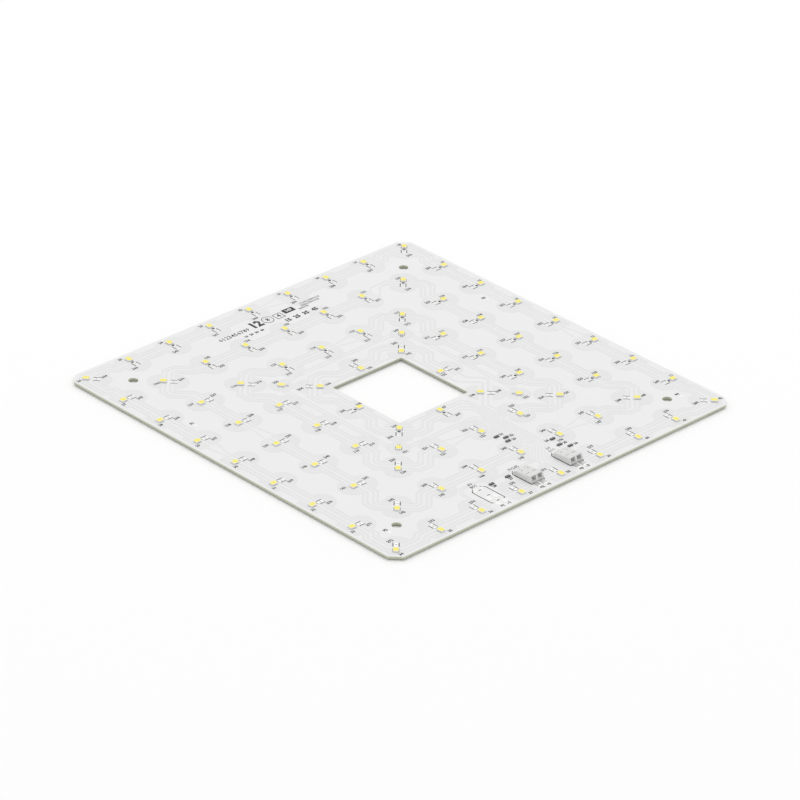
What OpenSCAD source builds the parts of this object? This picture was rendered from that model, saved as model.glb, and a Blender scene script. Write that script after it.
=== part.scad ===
// Square LED panel for a ceiling or wall lamp.
// A white-coated laminate board carries rings of LED packages round a square window,
// two push-in wire terminals, a few chip resistors and footprints left empty.
// Origin: centre of the underside. +Z is the light side, -Y the edge with the terminals.

/* [Board] */
// Side of the square board
board_side = 280; // [272:1:300]
// Thickness of the laminate
board_t = 1.6; // [1:0.1:3]
// Leg of the bevel across each corner of the board
corner_cut = 6.5; // [3:0.5:7.5]
// Side of the square window in the middle
window_side = 57; // [50:1:60]
// Radius in the corners of the window
window_r = 1; // [0.5:0.25:4]
// Thickness of the white coat on the light side
coat_t = 0.05; // [0.03:0.01:0.1]

/* [Screw holes] */
// Diameter of the screw holes
hole_d = 6; // [4.3:0.1:6.5]
// Distance from the board's edges to the centre of a screw hole
hole_inset = 27.75; // [26:0.25:29]

/* [LED layout] */
// Distance from the board's edge to the middle of the outer ring's pairs
edge_inset = 10; // [9:0.5:12]
// Distance from an LED to the empty footprint paired with it
pair_step = 6; // [5.4:0.1:6.6]
// Distance from the window to the LEDs of the inner ring
window_margin = 5.2; // [4:0.1:7]
// Step inwards, along X and Y, from a corner of the third ring to the diagonal LED
diagonal_step = 15; // [13:0.5:16]

/* [LED package] */
// Length of the package
led_l = 4.1; // [3.2:0.1:4.4]
// Width of the package
led_w = 3.3; // [2.6:0.1:3.5]
// Height of the package
led_h = 0.9; // [0.6:0.02:1.2]
// Width of the rim round the reflector cup
led_rim = 0.1; // [0.1:0.05:0.3]
// Leg of the cut corner that marks the cathode
led_mark = 0.4; // [0.2:0.05:0.6]
// Leg of the bevels in the corners of the reflector cup
cup_cut = 0.3; // [0.2:0.05:0.8]
// Drop from the rim to the top of the phosphor
fill_drop = 0.03; // [0.01:0.01:0.1]
// Thickness of the lead frame
lead_t = 0.2; // [0.1:0.02:0.3]
// Width of the leads
lead_w = 2.2; // [1.6:0.1:2.2]
// How far a lead reaches past the end of the package
lead_out = 0.05; // [0.05:0.05:0.2]
// Gap between the two leads
lead_gap = 0.4; // [0.2:0.05:0.6]
// Offset of that gap from the middle of the package
lead_split = 0.45; // [0.2:0.05:0.6]
// Length of the light-emitting die
die_l = 0.76; // [0.4:0.02:1]
// Width of the die
die_w = 0.4; // [0.3:0.02:1]
// Height of the die
die_h = 0.15; // [0.1:0.01:0.25]

/* [Pads] */
// Height of the tinned pads above the coat
pad_t = 0.09; // [0.07:0.01:0.2]
// Length of an LED pad
pad_l = 1.7; // [1.2:0.1:1.8]
// Width of an LED pad
pad_w = 2.5; // [1.8:0.1:2.8]
// Distance between the middles of an LED's two pads
pad_step = 2.8; // [2:0.1:3]
// Diameter of the four test pads
test_d = 2.6; // [1.5:0.1:4]
// Distance from the board's side edges to the test pads
test_inset = 19; // [17.5:0.5:20]
// Height of the upper test pads above the middle of the board
test_high = 47; // [45:0.5:50]
// Drop from the lower screw holes to the lower test pads
test_drop = 3.25; // [0:0.25:4]

/* [Tracks] */
// Height by which a coated track stands above the coat between the tracks
track_t = 0.05; // [0.03:0.01:0.06]
// Width of a track that follows a ring
track_w = 1.5; // [1:0.1:1.7]
// Distance from the middle of a pair to its two inner tracks
track_near = 1.6; // [1.4:0.1:1.8]
// Distance from the middle of a pair to its two outer tracks
track_far = 4.15; // [3.9:0.05:4.4]
// Radius of the copper areas at the two ends of a pair
spread_r = 8.9; // [7:0.1:9.3]
// Distance from the middle of a pair to the centre of those areas
spread_step = 3.9; // [3.5:0.1:4]
// Radius of the copper area round a diagonal LED
diagonal_r = 7.4; // [6:0.2:8]
// Bare margin along the board's edge
edge_margin = 2.2; // [1.5:0.1:3]
// Bare margin round the window
window_bare = 0.8; // [0.5:0.1:1.5]
// Pitch of the supply tracks
supply_pitch = 2; // [1.7:0.1:2.2]
// Width of the supply tracks
supply_w = 1; // [0.7:0.1:1.2]
// Distance from the back of the terminals to the rows of supply tracks
supply_row_gap = 4.5; // [4.2:0.1:5]
// Pitch of those rows
supply_row_pitch = 1.5; // [1.4:0.1:1.6]
// Distance at which two of them pass the middle of the empty footprint
detour_side = 11; // [10:0.5:12]
// Bare gap between the tracks and the pads of terminals and resistors
pad_clear = 0.4; // [0.2:0.1:0.6]

/* [Terminals] */
// Width of a terminal housing
term_w = 10.5; // [10:0.1:11]
// Depth of a terminal housing from wire side to back
term_d = 14.5; // [14:0.1:16]
// Height of the housing at the wire side
term_front_h = 4.35; // [4.2:0.05:5]
// Height of the housing at its back
term_rear_h = 3.2; // [3.1:0.05:3.6]
// Backward lean of the wire side
term_lean = 1.2; // [0.4:0.05:1.4]
// Forward lean of the back
term_rear_lean = 1; // [0.5:0.1:1.4]
// Bevel along the top edges of the housing
term_bevel = 0.5; // [0.2:0.1:0.7]
// Cut across the two rear corners of the housing
term_rear_cut = 0.8; // [0.4:0.1:1.2]
// Gap between the housing and the coat
term_lift = 0.25; // [0.2:0.05:0.35]
// Distance from the board's edge to the wire side
term_inset = 10.25; // [9.5:0.25:11]
// Distance between the two wire entries
pole_pitch = 5; // [4.8:0.1:5.2]
// Width of the mouth of a wire entry
mouth_w = 3.3; // [3:0.1:4]
// Height of the mouth of a wire entry
mouth_h = 2.6; // [2.4:0.1:2.9]
// Height of the mouth's lower edge above the coat
mouth_z = 1.25; // [0.7:0.05:1.35]
// Depth of the mouth
mouth_d = 2.6; // [1.2:0.1:2.8]
// Width of the throat behind the mouth, and its height where the chamber allows
throat = 1.6; // [1.4:0.1:2.1]
// Thickness of the wall between mouth and spring chamber
front_wall = 1; // [0.8:0.1:1.4]
// Thickness of the wall behind the spring chamber
rear_wall = 2.2; // [2:0.1:2.6]
// Thickness of the roof over the spring chamber at the back
roof_t = 0.5; // [0.4:0.05:0.6]
// Diameter of the test holes in the roof
probe_d = 1; // [0.7:0.1:1.3]
// Distance from the back of the chamber to the test holes
probe_step = 1.9; // [1.5:0.1:2.4]
// Diameter of the blind dimples behind the test holes
dimple_d = 0.8; // [0.5:0.1:1]
// Depth of those dimples
dimple_depth = 0.4; // [0.2:0.05:0.6]
// Distance from the test holes back to the dimples
dimple_step = 2.4; // [2.2:0.1:2.6]
// Length of the release slots across the roof
release_l = 3; // [2.4:0.1:3.2]
// Width of the release slots
release_w = 0.5; // [0.3:0.05:0.8]
// Distance from the wire side to the release slots
release_y = 5.2; // [4.8:0.1:6]

/* [Spring clamps] */
// Thickness of the clamp's sheet metal
clamp_t = 0.3; // [0.25:0.05:0.4]
// Width of the clamp
clamp_w = 3; // [2.6:0.1:3.2]
// Side clearance of the clamp in its chamber
clamp_fit = 0.15; // [0.1:0.05:0.25]
// Clearance between the clamp and the chamber's back and roof
clamp_slack = 0.3; // [0.2:0.05:0.4]
// Length of the front solder tab
tab_front = 4.2; // [3:0.1:4.4]
// Length of the rear solder tab
tab_rear = 1.4; // [1:0.1:1.8]
// Length of the clamp's upper leg
clamp_top = 3.6; // [3:0.1:4.4]
// Reach of the spring tongue towards the wire side
tongue_reach = 3.4; // [2.8:0.1:3.8]
// Gap between the tongue's tip and the clamp's base
tongue_gap = 0.5; // [0.3:0.1:0.8]

/* [Terminal pads] */
// Width of a terminal pad
term_pad_w = 3.2; // [2.8:0.1:3.6]
// Length of a front terminal pad
term_pad_front = 3.2; // [3:0.1:3.6]
// Distance from the wire side to the middle of the front pads
term_pad_out = 3.2; // [3:0.1:3.4]
// Length of a middle terminal pad on the empty footprint
term_pad_mid = 4.4; // [3.6:0.1:5]
// Distance from the wire side back to the middle pads
term_pad_in = 4.4; // [4:0.1:5]
// Length of a rear terminal pad
term_pad_rear = 2; // [1.8:0.1:2.2]

/* [Chip resistors] */
// Length of a chip resistor's ceramic body
chip_l = 3.1; // [2.8:0.1:3.3]
// Width of the body
chip_w = 1.6; // [1.4:0.1:1.9]
// Height of the body
chip_h = 0.5; // [0.4:0.05:0.7]
// Length of the end caps
cap_l = 0.3; // [0.3:0.05:0.7]
// Thickness of the end caps
cap_t = 0.06; // [0.04:0.01:0.1]
// Thickness of the dark glaze on top
glaze_t = 0.04; // [0.02:0.01:0.06]
// Length of a resistor pad
chip_pad_l = 1.1; // [0.9:0.1:1.3]
// Width of a resistor pad
chip_pad_w = 1.8; // [1.6:0.1:2]

/* [Hidden] */

$fn = 48;
eps = 0.01;

// Rings of LED pairs, numbered from the window (1) to the edge
rings = 4;
inner = 1;
third = 2;
second = 3;
outer = 4;
half_side = board_side / 2;
site_pitch = (half_side - edge_inset) / rings;
diagonal_pos = third * site_pitch - diagonal_step;
hole_pos = half_side - hole_inset;

// Heights of the layers on the light side
coat_top = board_t + coat_t;
track_top = coat_top + track_t;
pad_top = coat_top + pad_t;

// Reflector cup and die, in the package's own frame
cup_l = led_l - 2 * led_rim;
cup_w = led_w - 2 * led_rim;
lead_end = led_l / 2 + lead_out;
split_low = lead_split - lead_gap / 2;
split_high = lead_split + lead_gap / 2;
die_x = split_low - die_l;

// Terminal slots along the -Y edge, in half pitches: two are fitted, one is empty
left_slot = -0.5;
right_slot = 0.5;
empty_slot = -1.5;
slots = [empty_slot, left_slot, right_slot];
term_y = term_inset - half_side;
top_fall = atan2(term_front_h - term_rear_h, term_d - term_lean - term_rear_lean);
chamber_y0 = mouth_d + front_wall;
chamber_y1 = term_d - rear_wall;
chamber_w = clamp_w + 2 * clamp_fit;
chamber_top = term_rear_h - roof_t;
throat_h = min(throat, chamber_top - mouth_z);
probe_y = chamber_y1 - probe_step;
strip_top = pad_t + clamp_t;
clamp_rear = chamber_y1 - clamp_slack;
clamp_high = chamber_top - clamp_slack;

// Resistors: where each one's offset starts from, and that offset
rear_y = term_y + term_d;
left_x = left_slot * site_pitch;
right_x = right_slot * site_pitch;
empty_x = empty_slot * site_pitch;
second_y = -second * site_pitch;
resistors = [
    [0, second_y] + [2.5, 19.5],
    [0, second_y] + [6.2, 15.4],
    [0, second_y] + [4.2, 11.6],
    [right_x, rear_y] + [9.4, 14],
    [right_x, rear_y] + [7.6, 6.6],
    [right_x, rear_y] + [11.6, 1.7],
    [left_x, rear_y] + [-9.4, 0.2],
    [empty_x, rear_y] + [9.8, 0.2],
];

// How far the tracks swing out before each corner of a ring, and for what length
swing_out = [0, 6.7, 8.5, 8.5, 3];
swing_run = [0, 6.2, 5.3, 4.6, 14.2];

// Ring, side (0 is +X, then counter-clockwise) and stretch where two slanted tracks
// replace the four straight ones; the last figure is 1 where the wide end comes second
slanted = [
    [outer, 0, -1, 0], [outer, 1, -1, 0], [outer, 2, -1, 0],
    [second, 2, -1, 1], [second, 3, 1, 1],
    [third, 1, -1, 0], [third, 3, -1, 0],
];
// Stretches left bare for the terminals and the supply tracks
bare = [[outer, 3, -2], [outer, 3, -1], [outer, 3, 0], [second, 3, 0], [third, 3, 0]];
// Ring, side and half of a side where only two tracks turn into the corner; then how far
// the outer one swings out and for what length, and the same for the inner one
thinned = [[inner, 0, -1, 11.9, 3, 6.2, 1.6], [second, 1, -1, 8.5, 13.6, 5.2, 7.4]];
// The half side that the supply tracks take over
supply_half = [inner, 3, 1];
slant_w = 0.8;
slant_near = 1;

// Supply tracks: eight side by side, right of the middle, with bevelled turns
supply_count = 8;
supply_mid = 14;
supply_bend = 4;

// Distance of the LEDs on ring k from the middle, on the sides and at the corners
function led_line(k) =
    k == inner ? window_side / 2 + window_margin : k * site_pitch + pair_step / 2;
function led_corner(k) =
    k == inner ? led_line(k) : k * site_pitch + pair_step / 2 / sqrt(2);

// The same for the middles of the pairs, which the tracks follow
function pair_line(k) = k == inner ? led_line(k) + pair_step / 2 : k * site_pitch;
function pair_corner(k) =
    k == inner ? led_corner(k) + pair_step / 2 / sqrt(2) : k * site_pitch;

// Points of a path moved sideways, with mitred corners
function left_of(a, b) = [a.y - b.y, b.x - a.x] / norm(b - a);
function mitre(n, m) = (n + m) / (1 + n * m);
function shifted(path, d) = let (last = len(path) - 1) [
    for (i = [0 : last])
        let (
            before = left_of(path[max(i - 1, 0)], path[max(i, 1)]),
            after = left_of(path[min(i, last - 1)], path[min(i + 1, last)])
        )
        path[i] + d * mitre(before, after)
];
function reversed(list) = [for (i = [len(list) - 1 : -1 : 0]) list[i]];

// Middle of ring k's four tracks along half a side, from its middle to the corner pair
function half_path(k, half) = let (
    c = pair_line(k),
    s = pair_corner(k),
    out = c + swing_out[k],
    high = 2 * s - out,
    low = high - swing_run[k],
    start = low - swing_out[k]
) [for (p = [[c, 0], [c, start], [out, low], [out, high], [s, s]]) [p.x, half * p.y]];

// The straight start of that path, up to a distance past the last pair before the corner
function stub_path(k, half, end = spread_r) =
    [[pair_line(k), 0], [pair_line(k), half * ((k - 1) * site_pitch + end)]];

// One of the two tracks of a thinned half: from a far line at the last pair to a near line at
// the corner pair; end is 1 for the outer track and -1 for the inner one
function thin_path(k, half, swing, run, end) = let (
    line = pair_line(k) + end * track_far,
    s = pair_corner(k) + end * track_near / sqrt(2),
    out = pair_line(k) + swing,
    high = 2 * s - out,
    low = high - run,
    start = low - (out - line)
) [for (p = [[line, 0], [line, start], [out, low], [out, high], [s, s]]) [p.x, half * p.y]];

// Supply track j: x, level where it comes in at the top, and where it goes out below
function supply_x(j) = supply_mid + (j - (supply_count - 1) / 2) * supply_pitch;
track_lines = [track_far, track_near, -track_near, -track_far];
supply_in = [
    -pair_line(third) - track_near,
    -pair_line(third) + track_near,
    -diagonal_pos - track_far,
    -diagonal_pos - track_near,
    for (line = reversed(track_lines)) -pair_line(inner) + line,
];
supply_from = [0, 0, -diagonal_pos, -diagonal_pos, 0, 0, 0, 0];
row_y = rear_y + supply_row_gap;
supply_out = [
    for (line = track_lines) -pair_line(second) + line,
    row_y,
    row_y - supply_row_pitch,
    rear_y + term_pad_rear / 2,
    resistors[3].y,
];
supply_to = [
    0, 0, 0, 0,
    empty_x + detour_side, empty_x + detour_side,
    right_x - pole_pitch / 2,
    resistors[3].x - chip_l / 2,
];
supply_turn = [-1, -1, -1, -1, -1, -1, -1, 1] * supply_bend;
function supply_path(j) = let (x = supply_x(j), b = supply_bend) [
    [supply_from[j], supply_in[j]], [x - b, supply_in[j]], [x, supply_in[j] - b],
    [x, supply_out[j] + b], [x + supply_turn[j], supply_out[j]], [supply_to[j], supply_out[j]],
];

// Two tracks from the inner ring's corner down to the third ring
feed_drop = 11;
function feed_path() = let (s = pair_corner(inner), x = s - feed_drop)
    [[s, -s], [x, -s - feed_drop], [x, -pair_line(third)]];

// Two tracks round the empty footprint to the outer ring
detour_rise = 4;
function detour_path() = let (
    right = empty_x + detour_side,
    left = empty_x - detour_side,
    low = row_y - supply_row_pitch / 2
) [
    [right + detour_rise, low], [right, low], [right - detour_rise, low + detour_rise],
    [left + detour_rise, low + detour_rise], [left, low], [left, -pair_line(outer)],
];

module strip(path, side, width) {
    polygon(concat(
        shifted(path, side + width / 2),
        reversed(shifted(path, side - width / 2))
    ));
}

module board_outline(inset = 0) {
    h = half_side - inset;
    c = h - corner_cut + inset * (2 - sqrt(2));
    polygon([[h, -c], [h, c], [c, h], [-c, h], [-h, c], [-h, -c], [-c, -h], [c, -h]]);
}

module window_outline(grow = 0) {
    side = window_side + 2 * grow;
    flat = window_side - 2 * window_r;
    square([side, flat], center = true);
    square([flat, side], center = true);
    for (x = [-1, 1], y = [-1, 1])
        translate([x, y] * flat / 2) circle(window_r + grow);
}

module at_holes() {
    for (x = [-1, 1], y = [-1, 1])
        translate([x, y] * hole_pos) children();
}

module panel_outline() {
    difference() {
        board_outline();
        window_outline();
        at_holes() circle(d = hole_d);
    }
}

// Puts a child at each LED of ring k, with its X axis pointing away from the spare footprint
module at_ring(k) {
    turn = k == inner ? 180 : 0;
    for (side = [0 : 3]) rotate(90 * side) {
        for (i = [1 - k : k - 1])
            translate([led_line(k), i * site_pitch]) rotate(turn) children();
        translate([led_corner(k), led_corner(k)]) rotate(45 + turn) children();
    }
}

module at_diagonals() {
    for (side = [0 : 3]) rotate(90 * side)
        translate([diagonal_pos, diagonal_pos]) rotate(45) children();
}

// Ring 0 stands for the four diagonal LEDs
module at_row(k) {
    if (k == 0) at_diagonals() children();
    else at_ring(k) children();
}

module at_slot(slot) {
    translate([slot * site_pitch, term_y]) children();
}

module at_poles() {
    for (side = [-1, 1]) translate([side * pole_pitch / 2, 0]) children();
}

module at_resistors() {
    for (place = resistors) translate(place) children();
}

module at_tests() {
    for (x = [-1, 1]) {
        translate([x * (half_side - test_inset), test_high]) children();
        translate([x * (half_side - test_inset), -hole_pos - test_drop]) children();
    }
}

module board() {
    color("#b9bca2") linear_extrude(board_t) panel_outline();
}

module solder_coat() {
    color("#eceeed") translate([0, 0, board_t]) linear_extrude(coat_t) panel_outline();
}

// Copper areas past the outer tracks of ring k's pairs
module ring_spreads(k) {
    difference() {
        at_ring(k) for (step = [-1, 1])
            translate([step * spread_step - pair_step / 2, 0]) circle(spread_r);
        for (side = [0 : 3], half = [-1, 1]) rotate(90 * side)
            strip(half_path(k, half), 0, 2 * track_far);
    }
}

function thins(k, side, half) =
    len([for (thin = thinned) if ([thin[0], thin[1], thin[2]] == [k, side, half]) thin]) > 0;

module ring_tracks(k) {
    stretch = site_pitch - 2 * spread_r;
    difference() {
        for (side = [0 : 3], half = [-1, 1]) if (supply_half != [k, side, half])
            rotate(90 * side) for (line = track_lines)
                if (thins(k, side, half)) {
                    if (abs(line) < track_far) strip(stub_path(k, half), line, track_w);
                } else if (k == inner && line == half * track_far)
                    strip(stub_path(k, half, pair_corner(k) - spread_r), line, track_w);
                else
                    strip(half_path(k, half), line, track_w);
        for (gap = concat(bare, slanted))
            if (gap[0] == k) rotate(90 * gap[1])
                translate([pair_line(k), (gap[2] + 0.5) * site_pitch])
                    square([2 * track_far + 2 * track_w, stretch], center = true);
    }
    for (thin = thinned) if (thin[0] == k) rotate(90 * thin[1]) {
        strip(thin_path(k, thin[2], thin[3], thin[4], 1), 0, track_w);
        strip(thin_path(k, thin[2], thin[5], thin[6], -1), 0, track_w);
    }
    for (gap = slanted) if (gap[0] == k) rotate(90 * gap[1])
        translate([pair_line(k), (gap[2] + 0.5) * site_pitch]) rotate(180 * gap[3])
            for (side = [-1, 1]) strip([
                [side * track_far, -stretch / 2 - track_w],
                [side * slant_near, stretch / 2 + track_w],
            ], 0, slant_w);
    ring_spreads(k);
}

module diagonal_tracks() {
    at_diagonals() difference() {
        circle(diagonal_r);
        square([pad_step - pad_l, 2 * diagonal_r], center = true);
    }
    for (side = [0 : 2]) rotate(90 * side) for (line = [track_near, track_far])
        translate([diagonal_pos + line, 0])
            square([supply_w, 2 * diagonal_pos], center = true);
}

module supply_tracks() {
    for (j = [0 : supply_count - 1]) strip(supply_path(j), 0, supply_w);
    for (side = [-1, 1]) {
        strip(feed_path(), side * track_near, track_w);
        strip(detour_path(), side * supply_row_pitch / 2, supply_w);
    }
}

module copper_tracks() {
    color("#e2e4e2") translate([0, 0, coat_top]) linear_extrude(track_t) difference() {
        intersection() {
            union() {
                for (k = [inner : outer]) ring_tracks(k);
                diagonal_tracks();
                supply_tracks();
            }
            board_outline(edge_margin);
        }
        window_outline(window_bare);
        terminal_pad_shapes(pad_clear);
        resistor_pad_shapes(pad_clear);
    }
}

// The two pads of one package
module pad_pair_shapes(step, length, width) {
    for (side = [-1, 1]) translate([side * step / 2, 0])
        square([length, width], center = true);
}

module led_pads() {
    color("#d9dadb") translate([0, 0, track_top]) linear_extrude(pad_top - track_top)
        for (k = [0 : outer]) at_row(k) pad_pair_shapes(pad_step, pad_l, pad_w);
}

module spare_pads() {
    color("#fafaf8") translate([0, 0, track_top]) linear_extrude(pad_top - track_top)
        for (k = [inner : outer]) at_ring(k) translate([-pair_step, 0])
            pad_pair_shapes(pad_step, pad_l, pad_w);
}

module terminal_pad_shapes(grow = 0) {
    for (slot = slots) at_slot(slot) at_poles() {
        translate([0, -term_pad_out])
            square([term_pad_w, term_pad_front] + [2, 2] * grow, center = true);
        translate([0, term_d + term_pad_rear / 2])
            square([term_pad_w, term_pad_rear] + [2, 2] * grow, center = true);
        if (slot == empty_slot) translate([0, term_pad_in])
            square([term_pad_w, term_pad_mid] + [2, 2] * grow, center = true);
    }
}

module terminal_pads() {
    color("#fafaf8") translate([0, 0, coat_top]) linear_extrude(pad_t)
        terminal_pad_shapes();
}

module resistor_pad_shapes(grow = 0) {
    at_resistors()
        pad_pair_shapes(chip_l, chip_pad_l + 2 * grow, chip_pad_w + 2 * grow);
}

module resistor_pads() {
    color("#d9dadb") translate([0, 0, coat_top]) linear_extrude(pad_t)
        resistor_pad_shapes();
}

module test_pads() {
    color("#fafaf8") translate([0, 0, coat_top]) linear_extrude(pad_t)
        at_tests() circle(d = test_d);
}

// LED package, drawn about its middle on top of its pads
module package_outline() {
    x = led_l / 2;
    y = led_w / 2;
    polygon([[-x, -y], [x, -y], [x, y], [-x + led_mark, y], [-x, y - led_mark]]);
}

module cup_outline() {
    x = cup_l / 2;
    y = cup_w / 2;
    c = cup_cut;
    polygon([
        [x, -y + c], [x, y - c], [x - c, y], [-x + c, y],
        [-x, y - c], [-x, -y + c], [-x + c, -y], [x - c, -y],
    ]);
}

module lead_frame() {
    linear_extrude(lead_t) {
        translate([-lead_end, -lead_w / 2]) square([lead_end + split_low, lead_w]);
        translate([split_high, -lead_w / 2]) square([lead_end - split_high, lead_w]);
    }
}

module die() {
    translate([die_x, -die_w / 2, lead_t]) cube([die_l, die_w, die_h]);
}

module led_housings(k) {
    color("#f1f1f5") translate([0, 0, pad_top]) at_row(k) difference() {
        linear_extrude(led_h) package_outline();
        translate([0, 0, lead_t]) linear_extrude(led_h) cup_outline();
        lead_frame();
    }
}

module led_phosphor(k) {
    color("#ffef73") translate([0, 0, pad_top]) at_row(k) difference() {
        translate([0, 0, lead_t]) linear_extrude(led_h - lead_t - fill_drop) cup_outline();
        die();
    }
}

module led_leads(k) {
    color("#c8c8ca") translate([0, 0, pad_top]) at_row(k) lead_frame();
}

module led_dies(k) {
    color("#86a9d6") translate([0, 0, pad_top]) at_row(k) die();
}

// Side view of a terminal housing: Y to the right, Z up
module terminal_side() {
    polygon([
        [0, term_lift], [0, mouth_z - term_lift], [term_lean, term_front_h],
        [term_d - term_rear_lean, term_rear_h], [term_d, mouth_z], [term_d, term_lift],
    ]);
}

module terminal_plan() {
    x = term_w / 2;
    c = term_rear_cut;
    polygon([[-x, 0], [x, 0], [x, term_d - c], [x - c, term_d], [-x + c, term_d], [-x, term_d - c]]);
}

// Extrudes a side view across the given width, about the middle
module across(width) {
    translate([-width / 2, 0, 0]) rotate([90, 0, 90]) linear_extrude(width) children();
}

module top_edge_bevels() {
    for (side = [-1, 1])
        translate([side * term_w / 2, term_lean, term_front_h]) rotate([-top_fall, 0, 0])
            rotate([0, 45, 0])
                cube([term_bevel * sqrt(2), 3 * term_d, term_bevel * sqrt(2)], center = true);
}

// What one pole takes out of the housing
module pole_cuts() {
    translate([-mouth_w / 2, -eps, mouth_z]) cube([mouth_w, mouth_d + eps, mouth_h]);
    translate([-throat / 2, 0, mouth_z]) cube([throat, chamber_y0 + eps, throat_h]);
    translate([-chamber_w / 2, chamber_y0, 0])
        cube([chamber_w, chamber_y1 - chamber_y0, chamber_top]);
    translate([-chamber_w / 2, -eps, 0]) cube([chamber_w, term_d + 2 * eps, strip_top]);
    translate([0, probe_y, chamber_top - eps]) cylinder(d = probe_d, h = term_front_h);
    translate([-release_l / 2, release_y, chamber_top - eps])
        cube([release_l, release_w, term_front_h]);
    translate([0, probe_y + dimple_step, dimple_floor()])
        cylinder(d = dimple_d, h = term_front_h);
}

// Height of the sloping top above the dimples, less their depth
function dimple_floor() =
    term_front_h - (probe_y + dimple_step - term_lean) * tan(top_fall) - dimple_depth;

module terminal_housing(slot) {
    color("#dfe0df") translate([0, 0, coat_top]) at_slot(slot) difference() {
        intersection() {
            across(term_w) terminal_side();
            linear_extrude(term_front_h) terminal_plan();
        }
        top_edge_bevels();
        at_poles() pole_cuts();
    }
}

// Side view of a spring clamp: base with two tabs, riser, upper leg and spring tongue
module clamp_side() {
    tip_y = clamp_rear - clamp_top - tongue_reach;
    tip_z = strip_top + tongue_gap;
    leg_y = clamp_rear - clamp_top;
    translate([-tab_front, pad_t]) square([tab_front + term_d + tab_rear, clamp_t]);
    translate([clamp_rear - clamp_t, pad_t]) square([clamp_t, clamp_high - pad_t]);
    translate([leg_y, clamp_high - clamp_t]) square([clamp_top, clamp_t]);
    polygon([
        [leg_y, clamp_high], [leg_y, clamp_high - clamp_t],
        [tip_y + clamp_t, tip_z], [tip_y, tip_z + clamp_t / 2],
    ]);
}

module terminal_clamps(slot) {
    color("#b4b5b7") translate([0, 0, coat_top]) at_slot(slot) at_poles()
        across(clamp_w) clamp_side();
}

// Chip resistor, drawn about its middle on top of its pads
module chip_body() {
    translate([-chip_l / 2, -chip_w / 2, cap_t]) cube([chip_l, chip_w, chip_h]);
}

module resistor_bodies() {
    color("#e9e6df") translate([0, 0, pad_top]) at_resistors() chip_body();
}

module resistor_glaze() {
    color("#26272a") translate([0, 0, pad_top + cap_t + chip_h]) at_resistors()
        linear_extrude(glaze_t) square([chip_l - 2 * cap_l, chip_w], center = true);
}

module resistor_caps() {
    color("#cdced0") translate([0, 0, pad_top]) at_resistors() difference() {
        for (side = [0, 180]) rotate(side)
            translate([chip_l / 2 - cap_l, -chip_w / 2, 0])
                cube([cap_l + cap_t, chip_w, chip_h + 2 * cap_t]);
        chip_body();
    }
}

board();
solder_coat();
copper_tracks();
led_pads();
spare_pads();
terminal_pads();
resistor_pads();
test_pads();
led_housings(outer);  // outer_led_housings
led_housings(second);  // second_led_housings
led_housings(third);  // third_led_housings
led_housings(inner);  // inner_led_housings
led_housings(0);  // diagonal_led_housings
led_phosphor(outer);  // outer_led_phosphor
led_phosphor(second);  // second_led_phosphor
led_phosphor(third);  // third_led_phosphor
led_phosphor(inner);  // inner_led_phosphor
led_phosphor(0);  // diagonal_led_phosphor
led_leads(outer);  // outer_led_leads
led_leads(second);  // second_led_leads
led_leads(third);  // third_led_leads
led_leads(inner);  // inner_led_leads
led_leads(0);  // diagonal_led_leads
led_dies(outer);  // outer_led_dies
led_dies(second);  // second_led_dies
led_dies(third);  // third_led_dies
led_dies(inner);  // inner_led_dies
led_dies(0);  // diagonal_led_dies
terminal_housing(left_slot);  // left_terminal_housing
terminal_clamps(left_slot);  // left_terminal_clamps
terminal_housing(right_slot);  // right_terminal_housing
terminal_clamps(right_slot);  // right_terminal_clamps
resistor_bodies();
resistor_glaze();
resistor_caps();
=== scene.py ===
from math import atan2, cos, pi, radians, sin, sqrt

import bmesh
import bpy
from mathutils import Matrix, Vector


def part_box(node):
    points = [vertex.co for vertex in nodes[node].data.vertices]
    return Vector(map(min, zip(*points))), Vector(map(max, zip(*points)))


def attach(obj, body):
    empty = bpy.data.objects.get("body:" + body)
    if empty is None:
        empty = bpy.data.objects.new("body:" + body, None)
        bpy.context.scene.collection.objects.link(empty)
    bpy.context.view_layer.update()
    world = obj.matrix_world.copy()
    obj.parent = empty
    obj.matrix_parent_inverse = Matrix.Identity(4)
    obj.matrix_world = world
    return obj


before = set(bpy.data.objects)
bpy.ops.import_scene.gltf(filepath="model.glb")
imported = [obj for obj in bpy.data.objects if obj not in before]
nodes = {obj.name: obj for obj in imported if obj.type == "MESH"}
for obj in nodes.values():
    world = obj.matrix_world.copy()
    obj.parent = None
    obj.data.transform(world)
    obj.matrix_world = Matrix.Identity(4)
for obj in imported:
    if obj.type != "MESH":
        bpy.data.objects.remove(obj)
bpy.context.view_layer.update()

mm = 0.001

# Edges and heights of the solids that the finishes and new pieces are fitted to
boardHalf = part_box("board")[1].x
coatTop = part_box("solder_coat")[1].z
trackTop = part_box("copper_tracks")[1].z
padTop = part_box("spare_pads")[1].z
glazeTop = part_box("resistor_glaze")[1].z
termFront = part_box("left_terminal_housing")[0].y
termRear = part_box("left_terminal_housing")[1].y
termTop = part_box("left_terminal_housing")[1].z


# One output of a shader node. A sum written with it adds its Math nodes.
class Wire:
    def __init__(self, bench, socket):
        self.bench = bench
        self.socket = socket

    def math(self, operation, *values):
        return self.bench.node("Math", {"operation": operation}, dict(enumerate(values)))

    def __add__(self, other):
        return self.math("ADD", self, other)

    def __radd__(self, other):
        return self.math("ADD", other, self)

    def __sub__(self, other):
        return self.math("SUBTRACT", self, other)

    def __rsub__(self, other):
        return self.math("SUBTRACT", other, self)

    def __mul__(self, other):
        return self.math("MULTIPLY", self, other)

    def __rmul__(self, other):
        return self.math("MULTIPLY", other, self)

    def sine(self):
        return self.math("SINE", self)

    # brings a wave between -1 and 1 to between 0 and 1
    def lifted(self):
        return self * 0.5 + 0.5


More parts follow.
